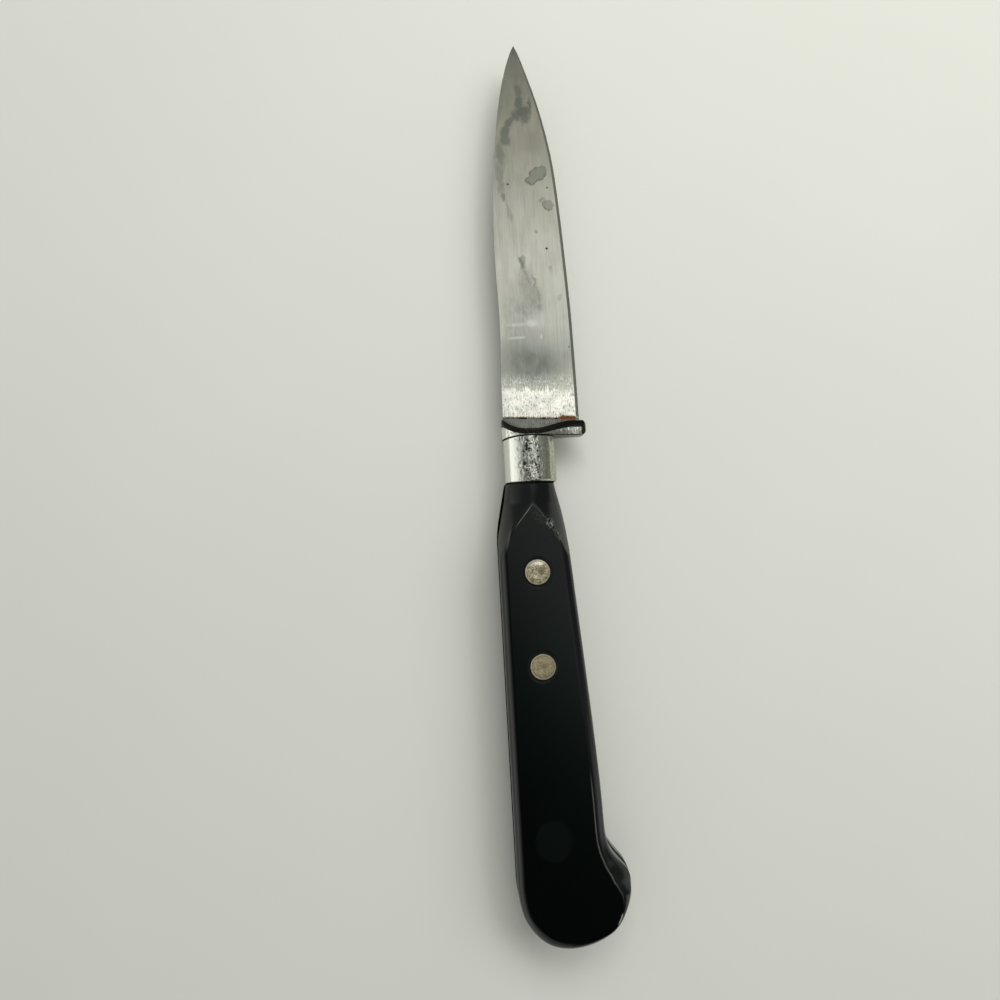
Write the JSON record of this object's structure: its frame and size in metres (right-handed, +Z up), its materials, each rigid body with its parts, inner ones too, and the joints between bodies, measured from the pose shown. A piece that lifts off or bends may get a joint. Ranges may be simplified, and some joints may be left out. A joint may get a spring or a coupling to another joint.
{
  "type": "paring knife",
  "caption": "Small riveted kitchen knife with a pointed blade, finger guard, oval ferrule and a black two-part handle that ends in a beak.",
  "frame": {"origin": "middle of the knife's box, at the height of the surface that it lies on", "axes": "+Y along the knife towards the tip, +X towards the cutting edge, +Z up out of the flat it lies on"},
  "size_m": [0.026, 0.2128, 0.013],
  "materials": {
    "blade_steel": "ground lengthwise, stained",
    "bolster_metal": "polished, pitted",
    "handle_plastic": "moulded, polished",
    "rivet_metal": "nickel silver, satin"
  },
  "bodies": {
    "root": {"blade_and_tang": "blade_steel", "guard_collar": "bolster_metal", "ferrule": "bolster_metal", "upper_scale": "handle_plastic", "lower_scale": "handle_plastic", "front_rivet_pin": "rivet_metal", "front_rivet_sleeve": "rivet_metal", "rear_rivet_pin": "rivet_metal", "rear_rivet_sleeve": "rivet_metal"}
  },
  "joints": []
}
